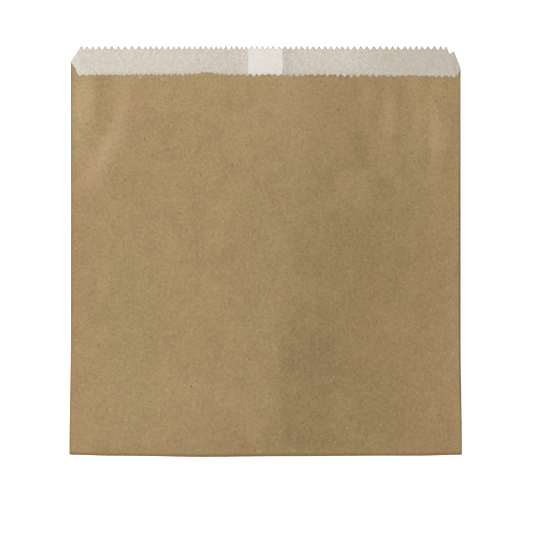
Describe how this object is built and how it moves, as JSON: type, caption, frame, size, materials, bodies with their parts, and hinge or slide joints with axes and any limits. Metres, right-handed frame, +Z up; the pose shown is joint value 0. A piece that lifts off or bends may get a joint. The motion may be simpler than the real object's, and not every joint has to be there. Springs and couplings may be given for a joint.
{
  "type": "lined paper takeaway bag",
  "caption": "Flat square brown kraft takeaway bag with a white greaseproof lining, a pasted back seam and folded bottom, and toothed cut edges with a lip at the mouth.",
  "frame": {"origin": "middle of the footprint, at the level of the surface that the bag lies on", "axes": "+X across the bag, +Y from the bottom fold to the mouth, +Z up out of the front face; the back lies on the surface"},
  "size_m": [0.1998, 0.2096, 0.0056],
  "materials": {
    "kraft_paper": "matt brown unbleached kraft, with a faint machine-glazed sheen and dark and light fibres",
    "greaseproof_paper": "thin translucent off-white greaseproof, slightly waxy, so the brown behind it tints a single layer"
  },
  "bodies": {
    "root": {"kraft_wrapper": "kraft_paper", "greaseproof_liner": "greaseproof_paper"}
  },
  "joints": []
}
